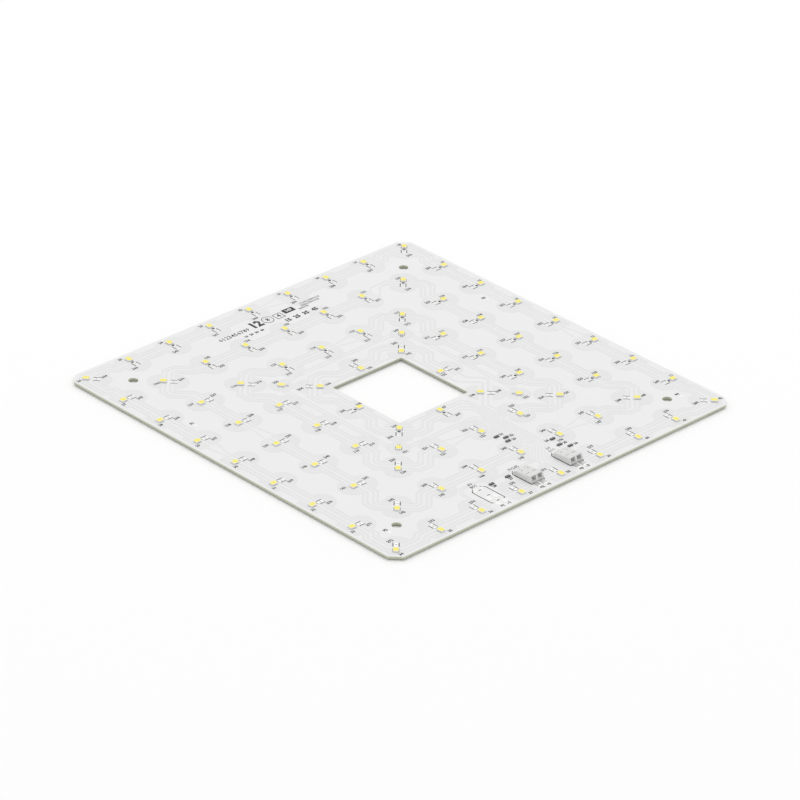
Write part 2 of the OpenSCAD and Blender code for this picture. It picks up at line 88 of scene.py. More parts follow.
# The nodes of one material
class Bench:
    def __init__(self, tree):
        self.tree = tree
        tree.nodes.clear()

    def node(self, kind, settings=None, sockets=None, out=0):
        made = self.tree.nodes.new("ShaderNode" + kind)
        for name, value in (settings or {}).items():
            setattr(made, name, value)
        for name, value in (sockets or {}).items():
            if isinstance(value, Wire):
                self.tree.links.new(value.socket, made.inputs[name])
            else:
                made.inputs[name].default_value = value
        return Wire(self, made.outputs[out]) if made.outputs else made

    def place(self, stretch=(1, 1, 1)):
        spot = self.node("TexCoord", None, None, "Object")
        return self.node("VectorMath", {"operation": "MULTIPLY"}, {0: spot, 1: stretch})

    def axis(self, name, source="Object"):
        spot = self.node("TexCoord", None, None, source)
        return self.node("SeparateXYZ", None, {0: spot}, name)

    def wave(self, name, length):
        return (self.axis(name) * (2 * pi / length)).sine()

    # soft noise between 0 and 1, with grains of the given size
    def grain(self, size, detail=2, stretch=(1, 1, 1)):
        return self.node("TexNoise", None, {
            "Vector": self.place(stretch), "Scale": 1 / size, "Detail": detail})

    def mix(self, factor, first, second):
        return self.node("Mix", {"data_type": "RGBA"}, {0: factor, 6: first, 7: second}, 2)

    def multiply(self, first, second):
        return self.node("Mix", {"data_type": "RGBA", "blend_type": "MULTIPLY"},
                         {0: 1, 6: first, 7: second}, 2)

    # 1 for what the camera sees, also by way of metal or glass
    def seen(self):
        rays = ["Is Camera Ray", "Is Glossy Ray", "Is Transmission Ray"]
        camera, glossy, through = [self.node("LightPath", None, None, ray) for ray in rays]
        return camera + glossy + through

    def bump(self, height, depth):
        return self.node("Bump", None, {"Strength": 1, "Distance": depth, "Height": height})


def tone(red, green, blue):
    return (red, green, blue, 1)


def grey(level):
    return tone(level, level, level)


def shaded(colour, share):
    return tone(*(share * channel for channel in colour[:3]))


# the smoothest value of a finish and what its grain adds
def roughness(look, grain):
    smooth, rise = look["rough"]
    return smooth + grain * rise


# makes a material: paint(bench, look) gives the sockets of its shader
def makeFinish(name, paint, look):
    material = bpy.data.materials.new(name)
    material.use_nodes = True
    bench = Bench(material.node_tree)
    shader = bench.node("BsdfPrincipled", None, paint(bench, look))
    bench.node("OutputMaterial", None, {"Surface": shader})
    return material


laminateLook = {
    "resin": tone(0.652, 0.678, 0.503),
    "glass": tone(0.784, 0.80, 0.652),
    # painted shade: the lower part of the edge is darker, as near the floor
    "floorShadeShare": 0.724,
    # painted shade: the laminate round the window is darker
    "windowShadeShare": grey(0.86),
    "windowReach": 45 * mm,
    "paleReach": 125 * mm,
    "thickness": 1.6 * mm,
    "ply": 0.4 * mm,
    "warp": 0.72 * mm,
    "weft": 0.58 * mm,
    "fibre": 0.3 * mm,
    "fibreStretch": (0.4, 0.4, 1.6),
    "cloud": 9 * mm,
    # what each pattern adds to the share of glass, and what the resin takes off
    "plyShare": 0.3,
    "weaveShare": 0.25,
    "fibreShare": 0.4,
    "cloudShare": 0.25,
    "resinShare": 0.1,
    "weaveRelief": 0.6,
    "fibreRelief": 0.4,
    "relief": 0.02 * mm,
    "rough": (0.5, 0.25),
}


# plies of glass cloth in resin; painted shade makes them darker low down towards the floor and darker
# round the window
def laminatePaint(bench, look):
    plies = bench.wave("Z", look["ply"]).lifted()
    weave = (bench.wave("X", look["warp"]) * bench.wave("Y", look["weft"])).lifted()
    fibre = bench.grain(look["fibre"], detail=3, stretch=look["fibreStretch"])
    cloud = bench.grain(look["cloud"])
    cloth = plies * look["plyShare"] + weave * look["weaveShare"] + fibre * look["fibreShare"]
    share = cloth + cloud * look["cloudShare"] - look["resinShare"]
    # painted shade: the edge is darker low down, towards the floor
    floorShadedResin, floorShadedGlass = [shaded(look[name], look["floorShadeShare"]) for name in ["resin", "glass"]]
    upper = bench.mix(share, look["resin"], look["glass"])
    lower = bench.mix(share, floorShadedResin, floorShadedGlass)
    body = bench.mix(bench.axis("Z") * (1 / look["thickness"]), lower, upper)
    # painted shade: darker round the window, fading out towards the outer edges
    windowShaded = bench.multiply(body, look["windowShadeShare"])
    reach = bench.node("VectorMath", {"operation": "LENGTH"}, {0: bench.place((1, 1, 0))}, "Value")
    outward = (reach - look["windowReach"]) * (1 / (look["paleReach"] - look["windowReach"]))
    relief = weave * look["weaveRelief"] + fibre * look["fibreRelief"]
    return {
        "Base Color": bench.mix(outward, windowShaded, body),
        "Roughness": roughness(look, fibre),
        "Normal": bench.bump(relief, look["relief"]),
    }


coatLook = {
    "white": tone(0.825, 0.83, 0.825),
    "level": 1,
    "mottle": 0.05,
    "cloud": 22 * mm,
    "peel": 0.9 * mm,
    "speck": 0.12 * mm,
    "speckShare": 0.3,
    "speckRelief": 0.3,
    "relief": 0.004 * mm,
    "rough": (0.36, 0.16),
}
# the copper under it shows through
copperCoatLook = {**coatLook, "level": 0.935}


# white solder coat: faintly mottled, with an orange-peel skin
def coatPaint(bench, look):
    cloud = bench.grain(look["cloud"], detail=3)
    peel = bench.grain(look["peel"])
    speck = bench.grain(look["speck"], detail=1)
    share = cloud * (1 - look["speckShare"]) + speck * look["speckShare"]
    bright = shaded(look["white"], look["level"])
    dull = shaded(bright, 1 - look["mottle"])
    return {
        "Base Color": bench.mix(share, dull, bright),
        "Roughness": roughness(look, peel),
        "Normal": bench.bump(peel + speck * look["speckRelief"], look["relief"]),
    }


tinLook = {
    "bright": tone(0.93, 0.93, 0.92),
    "shade": tone(0.80, 0.80, 0.79),
    "ripple": 0.5 * mm,
    "grit": 0.08 * mm,
    "gritShare": 0.4,
    "gritRelief": 0.2,
    "relief": 0.008 * mm,
    "rough": (0.12, 0.16),
}
# painted shade: the solder of the LEDs is darker, as in the shade at their feet
shadedTinLook = {**tinLook, "bright": tone(0.52, 0.52, 0.525), "shade": tone(0.38, 0.38, 0.385)}
# made dark on the chip resistors
darkTinLook = {
    "bright": tone(0.20, 0.20, 0.205),
    "shade": tone(0.12, 0.12, 0.125),
    "ripple": 0.4 * mm,
    "grit": 0.06 * mm,
    "gritShare": 0.5,
    "gritRelief": 0.3,
    "relief": 0.01 * mm,
    "rough": (0.3, 0.2),
}


# tinned copper and solder: levelled metal with a grainy skin
def tinPaint(bench, look):
    ripple = bench.grain(look["ripple"], detail=3)
    grit = bench.grain(look["grit"])
    share = ripple * (1 - look["gritShare"]) + grit * look["gritShare"]
    return {
        "Base Color": bench.mix(share, look["shade"], look["bright"]),
        "Metallic": 1,
        "Roughness": roughness(look, grit),
        "Normal": bench.bump(ripple + grit * look["gritRelief"], look["relief"]),
    }


# Skins with one grain for colour, sheen and relief, and clouds of tint where a tint is given
ledShellLook = {
    "bright": tone(0.965, 0.965, 0.995),
    "shade": tone(0.925, 0.925, 0.965),
    "grain": 0.05 * mm,
    "detail": 2,
    "grainShare": 0.2,
    "tint": 0.7 * mm,
    "tintDetail": 3,
    "relief": 0.003 * mm,
    "rough": (0.42, 0.2),
}
# silicone filled with fine powder, a little deeper where the powder has settled
phosphorLook = {
    "bright": tone(0.95, 0.855, 0.185),
    "shade": tone(0.92, 0.80, 0.125),
    "grain": 0.06 * mm,
    "detail": 3,
    "grainShare": 0.5,
    "tint": 0.9 * mm,
    "tintDetail": 2,
    "relief": 0.004 * mm,
    "rough": (0.3, 0.2),
}
# rolled strip, silvered
leadLook = {
    "bright": tone(0.93, 0.92, 0.89),
    "shade": tone(0.74, 0.73, 0.70),
    "metallic": 1,
    "grain": 0.05 * mm,
    "detail": 3,
    "stretch": (1, 0.15, 1),
    "grainShare": 0.5,
    "tint": 0.5 * mm,
    "tintDetail": 2,
    "relief": 0.002 * mm,
    "rough": (0.22, 0.22),
}
dieLook = {
    "bright": tone(0.45, 0.60, 0.80),
    "shade": tone(0.16, 0.27, 0.46),
    "grain": 0.09 * mm,
    "detail": 2,
    "rough": (0.12, 0.15),
}
springSteelLook = {
    "bright": tone(0.62, 0.62, 0.61),
    "shade": tone(0.44, 0.44, 0.43),
    "metallic": 1,
    "grain": 0.06 * mm,
    "detail": 3,
    "stretch": (1, 0.06, 1),
    "grainShare": 0.5,
    "tint": 1.1 * mm,
    "tintDetail": 2,
    "relief": 0.003 * mm,
    "rough": (0.26, 0.2),
}
ceramicLook = {
    "bright": tone(0.050, 0.050, 0.054),
    "shade": tone(0.025, 0.025, 0.028),
    "grain": 0.06 * mm,
    "detail": 3,
    "relief": 0.006 * mm,
    "rough": (0.55, 0.25),
}
# dark glass, worn in fine specks
glazeLook = {
    "bright": tone(0.045, 0.045, 0.048),
    "shade": tone(0.018, 0.019, 0.021),
    "grain": 0.2 * mm,
    "detail": 2,
    "grainShare": 0,
    "tint": 0.04 * mm,
    "tintDetail": 2,
    "relief": 0.008 * mm,
    "rough": (0.25, 0.2),
}
# screen-printed ink: the mesh leaves it uneven
inkLook = {
    "bright": tone(0.040, 0.040, 0.042),
    "shade": tone(0.012, 0.012, 0.013),
    "grain": 0.11 * mm,
    "detail": 2,
    "grainShare": 0.6,
    "tint": 2 * mm,
    "tintDetail": 2,
    "relief": 0.004 * mm,
    "rough": (0.5, 0.25),
}
paleInkLook = {
    "bright": tone(0.86, 0.86, 0.85),
    "shade": grey(0.70),
    "grain": 0.05 * mm,
    "detail": 2,
    "rough": (0.5, 0.2),
}
greyInkLook = {**paleInkLook, "bright": tone(0.27, 0.27, 0.265), "shade": grey(0.17)}


def skinPaint(bench, look):
    grain = bench.grain(look["grain"], look["detail"], look.get("stretch", (1, 1, 1)))
    share = grain
    if "tint" in look:
        tint = bench.grain(look["tint"], look["tintDetail"])
        share = grain * look["grainShare"] + tint * (1 - look["grainShare"])
    sockets = {
        "Base Color": bench.mix(share, look["shade"], look["bright"]),
        "Metallic": look.get("metallic", 0),
        "Roughness": roughness(look, grain),
    }
    if "relief" in look:
        sockets["Normal"] = bench.bump(grain, look["relief"])
    return sockets


terminalPlasticLook = {
    "bright": tone(0.79, 0.795, 0.785),
    "shade": tone(0.735, 0.74, 0.73),
    "skin": 0.07 * mm,
    "flow": 2.4 * mm,
    "flowStretch": (1, 0.3, 1),
    "flowShare": 0.7,
    # painted shade on what faces upward: a little darker on top, dark in the dimples and less so in
    # deeper recesses
    "upFrom": 0.75,
    "topShadeShare": grey(0.91),
    "dimpleShadeShare": grey(0.42),
    "dimple": 0.2 * mm,
    "recessShadeShare": grey(0.76),
    "recess": 1.5 * mm,
    # the top falls from the lip over the wire entries to the rear
    "lipBack": 1.2 * mm,
    "topFall": 1.15 * mm,
    "topRun": 12.3 * mm,
    "relief": 0.006 * mm,
    "rough": (0.45, 0.2),
}


# moulded plastic with an eroded skin and faint flow lines along its length, and painted shade on its
# upward faces
def terminalPlasticPaint(bench, look):
    skin = bench.grain(look["skin"], detail=3)
    flow = bench.grain(look["flow"], stretch=look["flowStretch"])
    share = flow * look["flowShare"] + skin * (1 - look["flowShare"])
    plastic = bench.mix(share, look["shade"], look["bright"])
    # painted shade: upward faces a little darker on top, darkest in the dimples, less so in deeper
    # recesses
    upward = (bench.axis("Z", "Normal") - look["upFrom"]) * (1 / (1 - look["upFrom"]))
    behindLip = bench.axis("Y") - (termFront + look["lipBack"])
    depth = termTop - behindLip * (look["topFall"] / look["topRun"]) - bench.axis("Z")
    recessShade = bench.mix(depth * (1 / look["recess"]), look["dimpleShadeShare"], look["recessShadeShare"])
    level = bench.mix(depth * (1 / look["dimple"]), look["topShadeShare"], recessShade)
    return {
        "Base Color": bench.mix(upward, plastic, bench.multiply(plastic, level)),
        "Roughness": roughness(look, skin),
        "Normal": bench.bump(skin, look["relief"]),
    }


paints = {
    "laminate": (laminatePaint, laminateLook),
    "white_coat": (coatPaint, coatLook),
    "coated_copper": (coatPaint, copperCoatLook),
    "tin": (tinPaint, tinLook),
    "painted_shade_tin": (tinPaint, shadedTinLook),
    "dark_tin": (tinPaint, darkTinLook),
    "led_plastic": (skinPaint, ledShellLook),
    "phosphor": (skinPaint, phosphorLook),
    "lead_frame": (skinPaint, leadLook),
    "die": (skinPaint, dieLook),
    "terminal_plastic": (terminalPlasticPaint, terminalPlasticLook),
    "spring_steel": (skinPaint, springSteelLook),
    "ceramic": (skinPaint, ceramicLook),
    "glaze": (skinPaint, glazeLook),
    "ink": (skinPaint, inkLook),
    "pale_ink": (skinPaint, paleInkLook),
    "grey_ink": (skinPaint, greyInkLook),
}
finishes = {name: makeFinish(name, *paint) for name, paint in paints.items()}

ledGroups = ["outer", "second", "third", "inner", "diagonal"]
slotOf = {
    "board": "laminate",
    "solder_coat": "white_coat",
    "copper_tracks": "coated_copper",
    "resistor_bodies": "ceramic",
    "resistor_glaze": "glaze",
    "resistor_caps": "tin",
}
for kind in ["led", "spare", "terminal", "resistor", "test"]:
    slotOf[kind + "_pads"] = "tin"
for group in ledGroups:
    slotOf[group + "_led_housings"] = "led_plastic"
    slotOf[group + "_led_phosphor"] = "phosphor"
    slotOf[group + "_led_leads"] = "lead_frame"
    slotOf[group + "_led_dies"] = "die"
for hand in ["left", "right"]:
    slotOf[hand + "_terminal_housing"] = "terminal_plastic"
    slotOf[hand + "_terminal_clamps"] = "spring_steel"
finishInstead = {"resistor_caps": "dark_tin"}
for name, slot in slotOf.items():
    mesh = nodes[name].data
    mesh.materials.clear()
    mesh.materials.append(finishes[finishInstead.get(name, slot)])
print("finishes on", len(slotOf), "of", len(nodes), "solids")


# Where the LEDs sit, from the same few sizes as the board
layout = {
    "rings": 4,
    "edgeInset": 10 * mm,
    "pairStep": 6 * mm,
    "windowSide": 57 * mm,
    "windowMargin": 5.2 * mm,
    "diagonalRing": 2,
    "diagonalStep": 15 * mm,
}
sitePitch = (boardHalf - layout["edgeInset"]) / layout["rings"]
diagonalPos = layout["diagonalRing"] * sitePitch - layout["diagonalStep"]
bothHands = [-1, 1]


def turned(angle):
    return Matrix.Rotation(angle, 4, "Z")


def moved(x, y, z=0):
    return Matrix.Translation((x, y, z))


# lengths that are given in mm
def metres(values):
    return [value * mm for value in values]


# (side, index, matrix) of each LED on ring k; index k is the corner at the end of that side
def ringSites(k):
    inner = k == 1
    innerLine = layout["windowSide"] / 2 + layout["windowMargin"]
    pairHalf = layout["pairStep"] / 2
    line = innerLine if inner else k * sitePitch + pairHalf
    corner = innerLine if inner else k * sitePitch + pairHalf / sqrt(2)
    face = pi if inner else 0
    for side in range(4):
        spin = turned(side * pi / 2)
        for index in range(1 - k, k):
            yield side, index, spin @ moved(line, index * sitePitch) @ turned(face)
        yield side, k, spin @ moved(corner, corner) @ turned(pi / 4 + face)


# the same for all rings, with k first
def allRingSites():
    for k in range(1, layout["rings"] + 1):
        for side, index, site in ringSites(k):
            yield k, side, index, site


def diagonalSites():
    for side in range(4):
        yield turned(side * pi / 2) @ moved(diagonalPos, diagonalPos) @ turned(pi / 4)


def meshOf(bm, name="shape"):
    mesh = bpy.data.meshes.new(name)
    bm.to_mesh(mesh)
    bm.free()
    return mesh


def stamp(target, shape, matrix):
    copy = shape.copy()
    copy.transform(matrix)
    target.from_mesh(copy)
    bpy.data.meshes.remove(copy)


def addPiece(name, bm, finish):
    mesh = meshOf(bm, name)
    mesh.materials.append(finishes[finish])
    piece = bpy.data.objects.new(name, mesh)
    bpy.context.scene.collection.objects.link(piece)
    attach(piece, "root")
    print(name, len(mesh.polygons), "faces")


# Ink lies on the coat and runs over the tracks
ink = {
    "high": trackTop + 0.012 * mm,
    "line": 0.5 * mm,
    "corner": 0.35 * mm,
    "cornerShare": 0.45,
    "roundSteps": 2,
}
inkDepth = ink["high"] - coatTop


# a bar along X with its base on z = 0 and rounded upright edges
def barShape(length, width, depth=inkDepth):
    bm = bmesh.new()
    bmesh.ops.create_cube(bm, size=1)
    bmesh.ops.scale(bm, vec=(length, width, depth), verts=bm.verts)
    bmesh.ops.translate(bm, vec=(0, 0, depth / 2), verts=bm.verts)
    upright = [e for e in bm.edges if abs(e.verts[0].co.z - e.verts[1].co.z) > depth / 2]
    radius = min(ink["cornerShare"] * width, ink["cornerShare"] * length, ink["corner"])
    bmesh.ops.bevel(bm, geom=upright, offset=radius, affect="EDGES", segments=ink["roundSteps"],
                    profile=0.5, material=-1)
    return meshOf(bm)


# pushes faces out along vec and closes the sides
def pushOut(bm, faces, vec):
    made = bmesh.ops.extrude_face_region(bm, geom=faces)
    far = [v for v in made["geom"] if isinstance(v, bmesh.types.BMVert)]
    bmesh.ops.translate(bm, vec=vec, verts=far)
    bmesh.ops.recalc_face_normals(bm, faces=bm.faces)


# a printed line of the given width, inside the edge of the one face in bm
def loopShape(bm, width):
    middle = bm.faces[:]
    bm.normal_update()
    bmesh.ops.inset_region(bm, faces=middle, thickness=width, use_boundary=True, use_even_offset=True)
    bmesh.ops.delete(bm, geom=middle, context="FACES")
    pushOut(bm, bm.faces[:], (0, 0, inkDepth))
    return meshOf(bm)


def plateShape(points, depth):
    bm = bmesh.new()
    face = bm.faces.new([bm.verts.new((x, y, 0)) for x, y in points])
    pushOut(bm, [face], (0, 0, depth))
    return meshOf(bm)


lettering = {
    "height": 2 * mm,
    "sizePerHeight": 1.43,
    "pitchPerHeight": 0.72,
    # shares of a sign's size
    "boldWeight": 0.045,
    "thinWeight": 0.005,
    "weld": 0.001,
}


# signs one unit high and deep, as solids with their middle at x = 0; weight thickens the strokes
def signShapes(signs, weight):
    shapes = {}
    for sign in signs:
        curve = bpy.data.curves.new("sign", "FONT")
        curve.body = sign
        curve.align_x = "CENTER"
        curve.align_y = "CENTER"
        curve.resolution_u = 1
        curve.extrude = 0.5
        curve.offset = weight
        holder = bpy.data.objects.new("sign", curve)
        mesh = bpy.data.meshes.new_from_object(holder)
        bpy.data.objects.remove(holder)
        bpy.data.curves.remove(curve)
        bm = bmesh.new()
        bm.from_mesh(mesh)
        bpy.data.meshes.remove(mesh)
        bmesh.ops.remove_doubles(bm, verts=bm.verts, dist=lettering["weld"])
        bmesh.ops.dissolve_degenerate(bm, edges=bm.edges, dist=lettering["weld"])
        bmesh.ops.translate(bm, vec=(0, 0, 0.5), verts=bm.verts)
        shapes[sign] = meshOf(bm)
    return shapes


boldSigns = signShapes("0123456789+-", lettering["boldWeight"])
thinSigns = signShapes("0123456789", lettering["thinWeight"])


# a row of signs along +X, centred on (x, y); it stands on the coat unless a base is given
def printRow(target, text, x, y, height=lettering["height"], base=coatTop, depth=inkDepth,
             signs=boldSigns):
    size = height * lettering["sizePerHeight"]
    pitch = height * lettering["pitchPerHeight"]
    scale = Matrix.Diagonal((size, size, depth, 1))
    for i, sign in enumerate(text):
        step = (i - (len(text) - 1) / 2) * pitch
        stamp(target, signs[sign], moved(x + step, y, base) @ scale)


# Marks printed beside each LED and round each spare footprint, and dark marks of painted shade at the
# LEDs' ends
spareMarks = {
    "side": 1.76 * mm,
    "length": 4.5 * mm,
    "spareShift": -0.35 * mm,
    "ledLine": 0.14 * mm,
    "cornerLine": 0.26 * mm,
    "dash": (0.22 * mm, 0.8 * mm),
    # painted shade: a dark dab from the LED's end on to the first spare pad
    "dabAt": -3.25 * mm,
    "dab": (0.9 * mm, 2 * mm),
    "dabOnPadAt": -4 * mm,
    "dabOnPad": (0.5 * mm, 1.7 * mm),
    "dabDepth": 0.012 * mm,
    "dabSides": [0, 1],
    "dabCorners": [0],
    # painted shade: a thin dark line in its place on the other sides
    "endLineAt": -3.6 * mm,
    "endLine": (0.18 * mm, 2 * mm),
    # two strokes before each diagonal LED
    "strokesAt": -3.5 * mm,
    "strokes": (2 * mm, 0.42 * mm),
    "strokeSide": 0.55 * mm,
}
bracketSide = spareMarks["side"]
bracketShape = barShape(spareMarks["length"], ink["line"])
ledLineShape = barShape(spareMarks["length"], spareMarks["ledLine"])
cornerLineShape = barShape(spareMarks["length"], spareMarks["cornerLine"])
dashShape = barShape(*spareMarks["dash"])
dabShape = barShape(*spareMarks["dab"])
padDabShape = barShape(*spareMarks["dabOnPad"], spareMarks["dabDepth"])
endLineShape = barShape(*spareMarks["endLine"])
strokeShape = barShape(*spareMarks["strokes"])
brackets = bmesh.new()
dabs = bmesh.new()
for k, side, index, site in allRingSites():
    led = site @ moved(0, 0, coatTop)
    spare = led @ moved(spareMarks["spareShift"] - layout["pairStep"], 0)
    atCorner = index == k
    lineShape = cornerLineShape if atCorner else ledLineShape
    for hand in bothHands:
        stamp(brackets, lineShape, led @ moved(0, hand * bracketSide))
        stamp(brackets, bracketShape, spare @ moved(0, hand * bracketSide))
    stamp(brackets, dashShape, spare)
    # the inner ring faces the other way
    facing = (side + 2) % 4 if k == 1 else side
    # painted shade at the LED's end: a dark dab on some sides, a thin dark line on the others
    if facing in spareMarks["dabCorners" if atCorner else "dabSides"]:
        stamp(dabs, dabShape, led @ moved(spareMarks["dabAt"], 0))
        stamp(dabs, padDabShape, site @ moved(spareMarks["dabOnPadAt"], 0, padTop))
    elif not atCorner:
        stamp(dabs, endLineShape, led @ moved(spareMarks["endLineAt"], 0))
for site in diagonalSites():
    for hand in bothHands:
        spot = moved(spareMarks["strokesAt"], hand * spareMarks["strokeSide"], coatTop)
        stamp(dabs, strokeShape, site @ spot)
        stamp(brackets, cornerLineShape, site @ moved(0, hand * bracketSide, coatTop))
addPiece("footprint_brackets", brackets, "ink")
addPiece("ink_strokes_and_painted_shade", dabs, "ink")


# Numbers beside the LEDs and spares, in mm from the middle of the pair: outward one, inward one
upLeft = ((-3.7, 6.6), (-4.1, -7.4))
lowLeft = ((-6, -4), (6.6, -4))
highRight = ((5.6, 3.7), (-6.8, 3.8))
numberPlan = {
    "first": {"outer": 11, "led": 101, "spare": 201},
    # for each side of the board, from the inner ring to the outer one
    "sides": [
        [((7.3, -4), (-4.1, -4)), highRight, highRight, highRight],
        [((4.8, 7.3), (4.8, -5.3)), upLeft, ((4.9, 6.9), (4.6, -6.5)), upLeft],
        [((-7.3, 3.4), (5.7, 3.4)), lowLeft, ((-9, 2.5), (9, 2.6)), lowLeft],
        [((4.6, -7.3), (4, 4.3)), ((-2.9, -7), (-5.8, 4.8)),
         ((-4.2, -7.5), (-3.8, 7)), ((3.8, -6.7), (3.3, 7.8))],
    ],
    # at the corners, from the LED and from the spare: inner ring, other rings
    "corners": [
        [((1.3, -4.7), (0, 6)), ((-0.5, 4.1), (-1.5, -6.2))],
        [((5.7, -0.7), (-6.5, 1.5)), ((-5, 0.4), (5.6, -1))],
        [((0, 4.1), (-6.7, 0.5)), ((-0.5, -4.8), (0.5, 5.3))],
        [((-6.3, 0.7), (5.1, -1.5)), ((4.8, -0.3), (-6.3, 1))],
    ],
    "diagonals": [(0, 5), (0, 5), (0, -5.5), (0, -5.5)],
    # ring, side and index where they stand elsewhere
    "elsewhere": {
        (2, 3, 1): ((2, -7), (3.5, 7.6)),
        (4, 3, 0): ((5, -3.9), (-4.3, 7)),
    },
}
numbers = bmesh.new()
nextNumber = dict(numberPlan["first"])


def printNumber(kind, start, shift):
    shiftX, shiftY = metres(shift)
    printRow(numbers, str(nextNumber[kind]), start.x + shiftX, start.y + shiftY)
    nextNumber[kind] += 1


for k, side, index, site in allRingSites():
    led = site.translation
    spare = (site @ moved(-layout["pairStep"], 0)).translation
    if index == k:
        starts = [led, spare]
        shifts = numberPlan["corners"][side][min(k - 1, 1)]
    else:
        starts = [(led + spare) / 2] * 2
        shifts = numberPlan["sides"][side][k - 1]
        shifts = numberPlan["elsewhere"].get((k, side, index), shifts)
        if k == 1:
            shifts = shifts[::-1]
    kinds = ["outer" if k == layout["rings"] else "led", "spare"]
    for kind, start, shift in zip(kinds, starts, shifts):
        printNumber(kind, start, shift)
for site, shift in zip(diagonalSites(), numberPlan["diagonals"]):
    printNumber("led", site.translation, shift)
addPiece("site_numbers", numbers, "ink")


# Outlines and signs round the three terminal places
terminalPlan = {
    # x of each place in LED pitches, and the place that is left empty
    "slots": [-1.5, -0.5, 0.5],
    "empty": 0,
    "halfWidth": 5.65 * mm,
    "line": 0.5 * mm,
    "frontGap": 0.7 * mm,
    "rearGap": 3 * mm,
    "chamfer": 2.6 * mm,
    "stub": 1.3 * mm,
    "polePitch": 5 * mm,
    "poleSigns": ["+", "-"],
    "poleSignOut": 6.5 * mm,
    "numberGap": 5 * mm,
    "numbers": [("80", "801"), ("70245",), ("60", "601")],
    "numberShift": [0, 0, -0.4 * mm],
    "numberHeight": 2.4 * mm,
    "rowStep": 3.1 * mm,
    "dash": (2.2 * mm, 0.5 * mm),
    "dashes": [0, 7.2 * mm, 14.8 * mm],
}
outlineSide = terminalPlan["halfWidth"] - terminalPlan["line"] / 2
outlineFront = termFront - terminalPlan["frontGap"]
outlineBend = termRear + terminalPlan["rearGap"] - terminalPlan["chamfer"]
sideLength = outlineBend - outlineFront
bevelHalf = terminalPlan["chamfer"] / 2
sideLine = barShape(terminalPlan["line"], sideLength)
bevelLine = barShape(sqrt(2) * terminalPlan["chamfer"], terminalPlan["line"])
stubLine = barShape(terminalPlan["stub"], terminalPlan["line"])
shortDash = barShape(*terminalPlan["dash"])
terminalInk = bmesh.new()
for place, slotIndex in enumerate(terminalPlan["slots"]):
    placeX = slotIndex * sitePitch
    for hand, sign in zip(bothHands, terminalPlan["poleSigns"]):
        bend = moved(placeX + hand * outlineSide, outlineBend, coatTop)
        bevel = moved(-hand * bevelHalf, bevelHalf) @ turned(-hand * pi / 4)
        stamp(terminalInk, sideLine, bend @ moved(0, -sideLength / 2))
        stamp(terminalInk, bevelLine, bend @ bevel)
        stamp(terminalInk, stubLine, bend @ moved(-hand * terminalPlan["stub"] / 2, -sideLength))
        poleX = placeX + hand * terminalPlan["polePitch"] / 2
        printRow(terminalInk, sign + str(place + 1), poleX, termFront - terminalPlan["poleSignOut"])
    for row, text in enumerate(reversed(terminalPlan["numbers"][place])):
        rowY = termRear + terminalPlan["numberGap"] + row * terminalPlan["rowStep"]
        printRow(terminalInk, text, placeX + terminalPlan["numberShift"][place], rowY,
                 terminalPlan["numberHeight"], signs=thinSigns)
    if place == terminalPlan["empty"]:
        for inward in terminalPlan["dashes"]:
            stamp(terminalInk, shortDash, moved(placeX, termRear - inward, coatTop))
addPiece("terminal_outlines", terminalInk, "ink")


# Numbers beside the chip resistors and test pads
resistorPlan = {
    # place of each resistor and shift of its number, in mm
    "sites": [
        ((2.5, -78), (4.6, 0.6)),
        ((6.2, -82.1), (4.6, 0)),
        ((4.2, -85.9), (4.6, -0.4)),
        ((25.65, -101.25), (-4.2, 0.8)),
        ((23.85, -108.65), (4.6, 0)),
        ((27.85, -113.55), (4.6, 0)),
        ((-25.65, -115.05), (0, -2.6)),
        ((-38.95, -115.05), (0, -2.6)),
    ],
    "first": 21,
    "codeHeight": 1.15 * mm,
    "codeDepth": 0.008 * mm,
    "codes": ["100", "220", "330", "470", "560", "680", "820", "910"],
}
testPlan = {"x": 121 * mm, "rows": [47 * mm, -115.5 * mm], "rise": 3.4 * mm, "first": 91}
resistorInk = bmesh.new()
codes = bmesh.new()
for i, (spot, shift) in enumerate(resistorPlan["sites"]):
    chipX, chipY = metres(spot)
    shiftX, shiftY = metres(shift)
    printRow(resistorInk, str(resistorPlan["first"] + i), chipX + shiftX, chipY + shiftY)
    printRow(codes, resistorPlan["codes"][i], chipX, chipY, resistorPlan["codeHeight"], glazeTop,
             resistorPlan["codeDepth"])
testSpots = [(hand * testPlan["x"], padY) for hand in bothHands for padY in testPlan["rows"]]
for i, (padX, padY) in enumerate(testSpots):
    printRow(resistorInk, str(testPlan["first"] + i), padX, padY + testPlan["rise"])
addPiece("resistor_numbers", resistorInk, "ink")
addPiece("resistor_codes", codes, "grey_ink")


# A plain printed scale of numbers, bars and simple figures along the far side
scalePlan = {
    # text, x and y of its middle, and height in mm
    "bold": [("12", -9.3, 116.3, 6.6)],
    "thin": [
        ("0123456789", -28.4, 114.8, 3.4),
        ("8", 0.5, 116.4, 3.8),
        ("4", 9.2, 115.8, 3.6),
        ("1234567890123", 37.6, 119, 1.8),
        ("234567890123", 35.8, 116.5, 1.8),
        ("345678", 28.5, 114.2, 1.8),
    ],
    "spaced": [("10 20 30 40", -17.6, 108.8, 1.9), ("15 25 35 45", 21, 108, 3.2)],
    "spacing": 2.3,
    # x and y of the middle, radius or half side, and width of the line
    "ring": (0.5, 116.4, 4, 0.4),
    "ringSteps": 32,
    "square": (9.2, 115.8, 3.1, 0.4),
    # x and y of the middle, length and width
    "block": (18.6, 117.4, 8.6, 4.8),
    "blockNumber": ("147", 2.4 * mm),
}
scaleInk = bmesh.new()
for signs, rows in [(boldSigns, scalePlan["bold"]), (thinSigns, scalePlan["thin"])]:
    for text, *spot in rows:
        printRow(scaleInk, text, *metres(spot), signs=signs)
